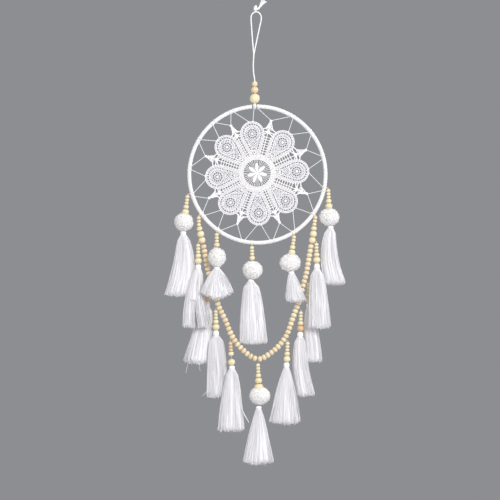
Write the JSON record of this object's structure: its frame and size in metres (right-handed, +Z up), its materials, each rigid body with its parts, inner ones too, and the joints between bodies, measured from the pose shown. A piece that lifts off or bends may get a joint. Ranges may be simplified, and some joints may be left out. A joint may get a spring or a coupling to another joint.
{
  "type": "dream catcher",
  "caption": "Wall-hung dream catcher: wrapped hoop with a laced crochet doily, a wooden bead swag, pompom drops and tassels that swing.",
  "frame": {"origin": "the point at the top of the hanging loop that rests on the hook", "axes": "+Z up; the front faces -Y and the wall side is +Y; +X is to the right seen from the front"},
  "size_m": [0.2487, 0.0325, 0.6638],
  "materials": {
    "cotton_cord": "white wound cotton cord",
    "crochet_lace": "white crochet cotton",
    "lacing_thread": "thin white twisted thread",
    "pompom_yarn": "white fluffy trimmed yarn",
    "tassel_thread": "white silky thread",
    "pale_wood": "varnished pale wood",
    "tan_wood": "varnished tan wood",
    "steel_ring": "plain wire ring"
  },
  "bodies": {
    "hanger": {"hanging_loop": "cotton_cord", "loop_knot": "cotton_cord", "hoop_hitch": "cotton_cord", "loop_bead_large": "pale_wood", "loop_bead_medium": "pale_wood", "loop_bead_small": "pale_wood"},
    "hoop": {"hoop_ring": "steel_ring", "hoop_wrap": "cotton_cord", "doily": "crochet_lace", "lacing_thread": "lacing_thread"},
    "swag": {"swag_left_cluster": "pale_wood", "swag_right_cluster": "pale_wood", "swag_left_strand": "tan_wood", "swag_right_strand": "tan_wood"},
    "left_outer_drop": {"left_outer_beads": "pale_wood", "left_outer_pompom": "pompom_yarn", "left_outer_tassel": "tassel_thread"},
    "left_inner_drop": {"left_inner_beads": "pale_wood", "left_inner_pompom": "pompom_yarn", "left_inner_tassel": "tassel_thread"},
    "centre_drop": {"centre_beads": "pale_wood", "centre_pompom": "pompom_yarn", "centre_tassel": "tassel_thread"},
    "right_inner_drop": {"right_inner_beads": "pale_wood", "right_inner_pompom": "pompom_yarn", "right_inner_tassel": "tassel_thread"},
    "right_outer_drop": {"right_outer_beads": "pale_wood", "right_outer_pompom": "pompom_yarn", "right_outer_tassel": "tassel_thread"},
    "bottom_drop": {"bottom_beads": "pale_wood", "bottom_pompom": "pompom_yarn", "bottom_tassel": "tassel_thread"},
    "swag_left_1_drop": {"swag_left_1_beads": "pale_wood", "swag_left_1_tassel": "tassel_thread"},
    "swag_left_2_drop": {"swag_left_2_beads": "pale_wood", "swag_left_2_tassel": "tassel_thread"},
    "swag_left_3_drop": {"swag_left_3_beads": "pale_wood", "swag_left_3_tassel": "tassel_thread"},
    "swag_left_4_drop": {"swag_left_4_beads": "pale_wood", "swag_left_4_tassel": "tassel_thread"},
    "swag_right_1_drop": {"swag_right_1_beads": "pale_wood", "swag_right_1_tassel": "tassel_thread"},
    "swag_right_2_drop": {"swag_right_2_beads": "pale_wood", "swag_right_2_tassel": "tassel_thread"},
    "swag_right_3_drop": {"swag_right_3_beads": "pale_wood", "swag_right_3_tassel": "tassel_thread"},
    "swag_right_4_drop": {"swag_right_4_beads": "pale_wood", "swag_right_4_tassel": "tassel_thread"}
  },
  "joints": [
    {"name": "hoop_swing", "type": "hinge", "parent": "hanger", "child": "hoop", "pos_m": [-0.0024, 0, -0.13498], "axis": [-1, 0, 0], "range_deg": [-25, 25]},
    {"name": "swag_swing", "type": "hinge", "parent": "hoop", "child": "swag", "pos_m": [0.0015, 0, -0.288], "axis": [-1, 0, 0], "range_deg": [-25, 0]},
    {"name": "left_outer_swing", "type": "hinge", "parent": "hoop", "child": "left_outer_drop", "pos_m": [-0.0977, 0, -0.2602], "axis": [-1, 0, 0], "range_deg": [-25, 35]},
    {"name": "left_inner_swing", "type": "hinge", "parent": "hoop", "child": "left_inner_drop", "pos_m": [-0.0565, -0.0044, -0.3136], "axis": [-1, 0, 0], "range_deg": [0, 30]},
    {"name": "centre_swing", "type": "hinge", "parent": "hoop", "child": "centre_drop", "pos_m": [-0.0064, 0, -0.3326], "axis": [-1, 0, 0], "range_deg": [-25, 35]},
    {"name": "right_inner_swing", "type": "hinge", "parent": "hoop", "child": "right_inner_drop", "pos_m": [0.0541, -0.0044, -0.3174], "axis": [-1, 0, 0], "range_deg": [0, 30]},
    {"name": "right_outer_swing", "type": "hinge", "parent": "hoop", "child": "right_outer_drop", "pos_m": [0.1025, 0, -0.2514], "axis": [-1, 0, 0], "range_deg": [-25, 35]},
    {"name": "bottom_swing", "type": "hinge", "parent": "swag", "child": "bottom_drop", "pos_m": [0.0023, 0, -0.5009], "axis": [-1, 0, 0], "range_deg": [-25, 35]},
    {"name": "swag_left_1_swing", "type": "hinge", "parent": "swag", "child": "swag_left_1_drop", "pos_m": [-0.0829, -0.003, -0.3286], "axis": [-1, 0, 0], "range_deg": [0, 30]},
    {"name": "swag_left_2_swing", "type": "hinge", "parent": "swag", "child": "swag_left_2_drop", "pos_m": [-0.068, 0.0054, -0.3826], "axis": [-1, 0, 0], "range_deg": [-25, 0]},
    {"name": "swag_left_3_swing", "type": "hinge", "parent": "swag", "child": "swag_left_3_drop", "pos_m": [-0.0579, 0.002, -0.423], "axis": [-1, 0, 0], "range_deg": [-25, 30]},
    {"name": "swag_left_4_swing", "type": "hinge", "parent": "swag", "child": "swag_left_4_drop", "pos_m": [-0.0371, -0.0045, -0.4686], "axis": [-1, 0, 0], "range_deg": [-25, 30]},
    {"name": "swag_right_1_swing", "type": "hinge", "parent": "swag", "child": "swag_right_1_drop", "pos_m": [0.0853, -0.003, -0.3276], "axis": [-1, 0, 0], "range_deg": [0, 30]},
    {"name": "swag_right_2_swing", "type": "hinge", "parent": "swag", "child": "swag_right_2_drop", "pos_m": [0.0743, 0.0054, -0.3846], "axis": [-1, 0, 0], "range_deg": [-25, 0]},
    {"name": "swag_right_3_swing", "type": "hinge", "parent": "swag", "child": "swag_right_3_drop", "pos_m": [0.0635, 0.002, -0.4252], "axis": [-1, 0, 0], "range_deg": [-25, 30]},
    {"name": "swag_right_4_swing", "type": "hinge", "parent": "swag", "child": "swag_right_4_drop", "pos_m": [0.0445, -0.0045, -0.4684], "axis": [-1, 0, 0], "range_deg": [-25, 30]}
  ]
}
